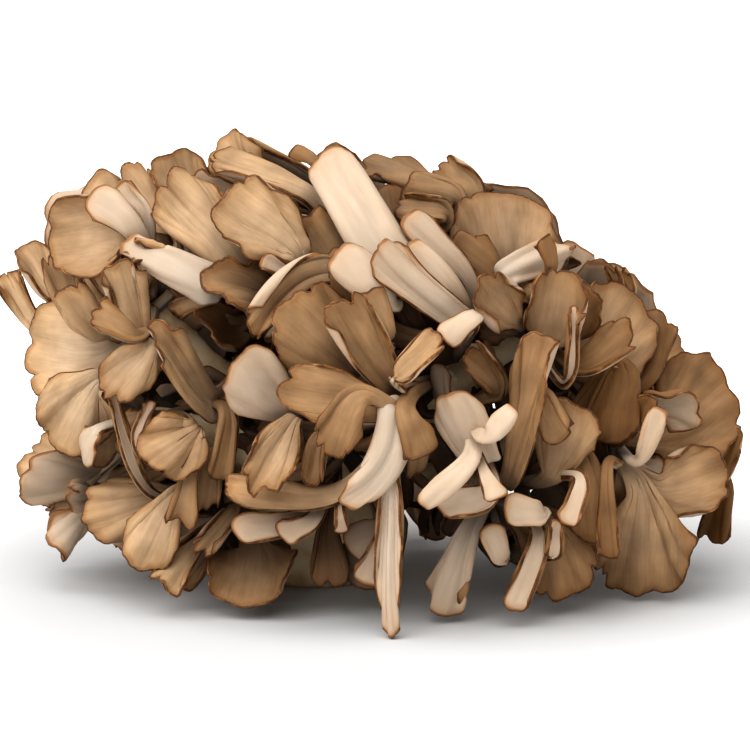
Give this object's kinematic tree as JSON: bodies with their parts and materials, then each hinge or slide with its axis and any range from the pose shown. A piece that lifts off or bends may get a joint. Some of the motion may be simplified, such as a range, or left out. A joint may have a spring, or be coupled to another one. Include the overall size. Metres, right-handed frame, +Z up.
{
  "type": "maitake mushroom",
  "caption": "Broad cluster mushroom: a branched cream stem carrying overlapping tan, fan and spoon shaped fronds with dark wavy rims and cream undersides.",
  "frame": {"origin": "bottom centre of the mushroom's bounding box, on the surface that it rests on", "axes": "+X along the long side of the cluster, to the right seen from its broad front; +Y from the front to the back; +Z up"},
  "size_m": [0.3014, 0.2188, 0.1891],
  "materials": {
    "cap_skin": "matte, finely fibrous tan skin, darker and ragged at the rim",
    "pore_face": "matte cream pore face and stalk, very fine pores",
    "stem_flesh": "matte cream flesh, smooth and slightly lumpy"
  },
  "bodies": {
    "root": {"back_left_centre_fronds": "cap_skin", "back_left_fronds": "cap_skin", "back_low_centre_fronds": "cap_skin", "back_low_left_fronds": "cap_skin", "back_low_right_fronds": "cap_skin", "back_right_centre_fronds": "cap_skin", "back_right_fronds": "cap_skin", "back_top_fronds": "cap_skin", "back_upper_left_fronds": "cap_skin", "back_upper_right_fronds": "cap_skin", "bottom_bowl": "cap_skin", "brow_fan": "cap_skin", "brown_trumpet": "cap_skin", "centre_tan_fan": "cap_skin", "cream_hook": "pore_face", "cream_star": "pore_face", "crescent_frond": "cap_skin", "crown_fan": "cap_skin", "dark_funnel": "cap_skin", "far_right_fan": "cap_skin", "floor_lobe": "cap_skin", "flower_lower_lobe": "cap_skin", "flower_upper_lobe": "cap_skin", "folded_frond": "cap_skin", "foot_cream_frond": "pore_face", "forked_frond": "cap_skin", "frilled_fan": "cap_skin", "great_cream_tongue": "pore_face", "hanging_blade": "pore_face", "left_curl": "cap_skin", "left_dish_fan": "cap_skin", "left_finger": "cap_skin", "left_foot_curl": "cap_skin", "left_great_fan": "cap_skin", "left_lower_fan": "cap_skin", "left_round_fan": "cap_skin", "long_cream_tongue": "pore_face", "lower_left_fan": "cap_skin", "lower_left_front_fan": "cap_skin", "lower_right_foot_fan": "cap_skin", "lower_right_side_fan": "cap_skin", "right_foot_fan": "cap_skin", "right_great_fan": "cap_skin", "right_lobed_fan": "cap_skin", "right_upper_sheet": "cap_skin", "rolled_fan_lower": "pore_face", "rolled_fan_upper": "cap_skin", "round_cream_fan": "pore_face", "ruffled_ribbon": "cap_skin", "scalloped_fan": "cap_skin", "star_fan": "cap_skin", "stem": "stem_flesh", "tall_trumpet": "cap_skin", "top_back_sheet": "cap_skin", "top_left_lobe": "cap_skin", "top_pale_lobe": "cap_skin", "top_ribbon": "cap_skin", "underside_fan": "pore_face", "upper_left_tongue": "cap_skin", "white_knob": "pore_face"}
  },
  "joints": []
}
